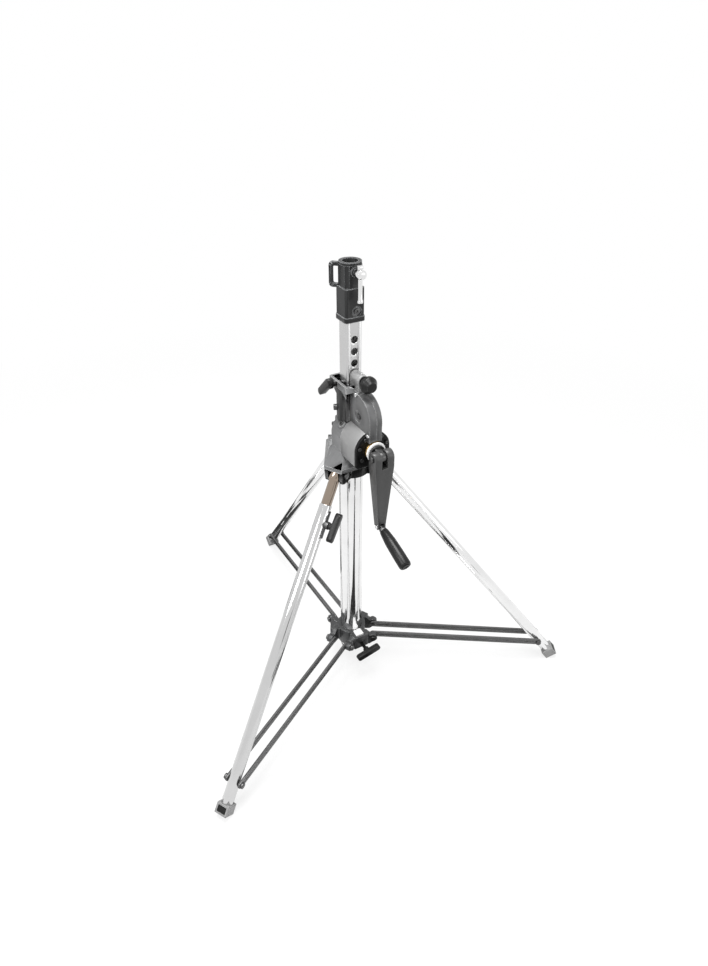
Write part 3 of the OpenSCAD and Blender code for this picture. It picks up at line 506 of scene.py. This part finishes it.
def make_floor():
    mesh = bpy.data.meshes.new("floor")
    far = FLOOR_HALF
    mesh.from_pydata([(-far, -far, 0), (far, -far, 0), (far, far, 0), (-far, far, 0)], [], [(0, 1, 2, 3)])
    floor = add_object("floor", mesh)
    m = Nodes("floor")
    m.shader.inputs["Roughness"].default_value = 0.7
    patch = m.noise(m.position(), 3.0)
    m.link(m.ramp(patch, 0.2, 0.9, grey(0.86), grey(0.88)), m.shader.inputs["Base Color"])
    glow = m.add("ShaderNodeEmission")
    glow.inputs["Color"].default_value = grey(1.0)
    share = m.between(m.length(m.position()), GLOW_NEAR, GLOW_FAR, FLOOR_GLOW, 1.0)
    mix = m.add("ShaderNodeMixShader")
    m.link(m.product(share, seen_rays(m.tree)), mix.inputs["Fac"])
    m.link(m.shader.outputs[0], mix.inputs[1])
    m.link(glow.outputs[0], mix.inputs[2])
    m.link(mix.outputs[0], m.tree.nodes["Material Output"].inputs["Surface"])
    mesh.materials.append(m.material)


def area_light(name, place, target, size, power):
    data = bpy.data.lights.new(name, "AREA")
    data.shape = "SQUARE"
    data.size = size
    data.energy = power
    lamp = add_object(name, data)
    lamp.location = place
    lamp.rotation_euler = (Vector(target) - Vector(place)).to_track_quat("-Z", "Y").to_euler()


def seen_rays(tree):
    """1 for rays from the camera, in mirrors and through glass, 0 for the light on the object."""
    path = tree.nodes.new("ShaderNodeLightPath")
    fac = path.outputs["Is Camera Ray"]
    for kind in ("Is Glossy Ray", "Is Transmission Ray"):
        most = tree.nodes.new("ShaderNodeMath")
        most.operation = "MAXIMUM"
        tree.links.new(fac, most.inputs[0])
        tree.links.new(path.outputs[kind], most.inputs[1])
        fac = most.outputs[0]
    return fac


def make_world():
    world = bpy.data.worlds.new("world")
    bpy.context.scene.world = world
    world.use_nodes = True
    tree = world.node_tree
    back = tree.nodes["Background"]
    back.inputs["Color"].default_value = grey(1.0)
    back.inputs["Strength"].default_value = WORLD_LIGHT
    white = tree.nodes.new("ShaderNodeBackground")
    white.inputs["Color"].default_value = grey(1.0)
    white.inputs["Strength"].default_value = 1.0
    mix = tree.nodes.new("ShaderNodeMixShader")
    tree.links.new(seen_rays(tree), mix.inputs["Fac"])
    tree.links.new(back.outputs[0], mix.inputs[1])
    tree.links.new(white.outputs[0], mix.inputs[2])
    tree.links.new(mix.outputs[0], tree.nodes["World Output"].inputs["Surface"])


def mirror_card(name, corners, shade):
    """Dark flat panel that only mirroring surfaces see, as a studio's flags give chrome its dark lines."""
    mesh = bpy.data.meshes.new(name)
    mesh.from_pydata([Vector(corner) + COLUMN_FOOT for corner in corners], [], [tuple(range(len(corners)))])
    card = add_object(name, mesh)
    m = Nodes(name)
    m.shader.inputs["Base Color"].default_value = grey(0.0)
    m.shader.inputs["Roughness"].default_value = 1.0
    m.shader.inputs["Specular IOR Level"].default_value = 0.0
    m.shader.inputs["Emission Color"].default_value = grey(shade)
    m.shader.inputs["Emission Strength"].default_value = 1.0
    mesh.materials.append(m.material)
    card.visible_camera = False
    card.visible_diffuse = False
    card.visible_transmission = False
    card.visible_shadow = False


# Cards: shade and corners, which are measured from the column's foot. The strips lie just above the floor.
STRIP_Z = 0.002
STRIPS = {
    "strip_front": (0.04, [(0.04, -0.07), (1.3, -0.09), (1.3, 0.06), (0.04, 0.045)]),
    "strip_back": (0.05, [(-0.28, -0.10), (-0.28, 0.0), (-1.2, 0.06), (-1.2, -0.14)]),
    "strip_left": (0.05, [(-0.035, -0.01), (-0.98, -0.36), (-0.92, -0.5), (-0.033, -0.018)]),
}
PANEL_SHADE = 0.05
PANEL = [(2.9, -0.95, 0.75), (3.0, -0.55, 0.75), (3.0, -0.55, 1.35), (2.9, -0.95, 1.35)]
# Lamps: place, side of the square and power in watts; all are aimed at the middle of the stand
LAMPS = {
    "key": ((0.6, -2.6, 2.6), 1.2, 46),
    "top": ((0.2, -0.2, 3.0), 1.4, 100),
    "fill": ((2.6, 1.6, 1.2), 1.6, 12),
}
MIDDLE = (AXIS_X, 0, 0.5)


def make_cards():
    for name, (shade, corners) in STRIPS.items():
        mirror_card(name, [(x, y, STRIP_Z) for x, y in corners], shade)
    mirror_card("panel_front", PANEL, PANEL_SHADE)


def make_lights():
    for name, (place, size, power) in LAMPS.items():
        area_light(name, place, MIDDLE, size, power)


make_camera()
make_floor()
make_world()
make_lights()
make_cards()
materials = make_materials()
dress_nodes(materials)
add_head_details(materials)
add_grip_plug(materials)
add_feet(materials)

bpy.context.scene.view_settings.view_transform = "Standard"
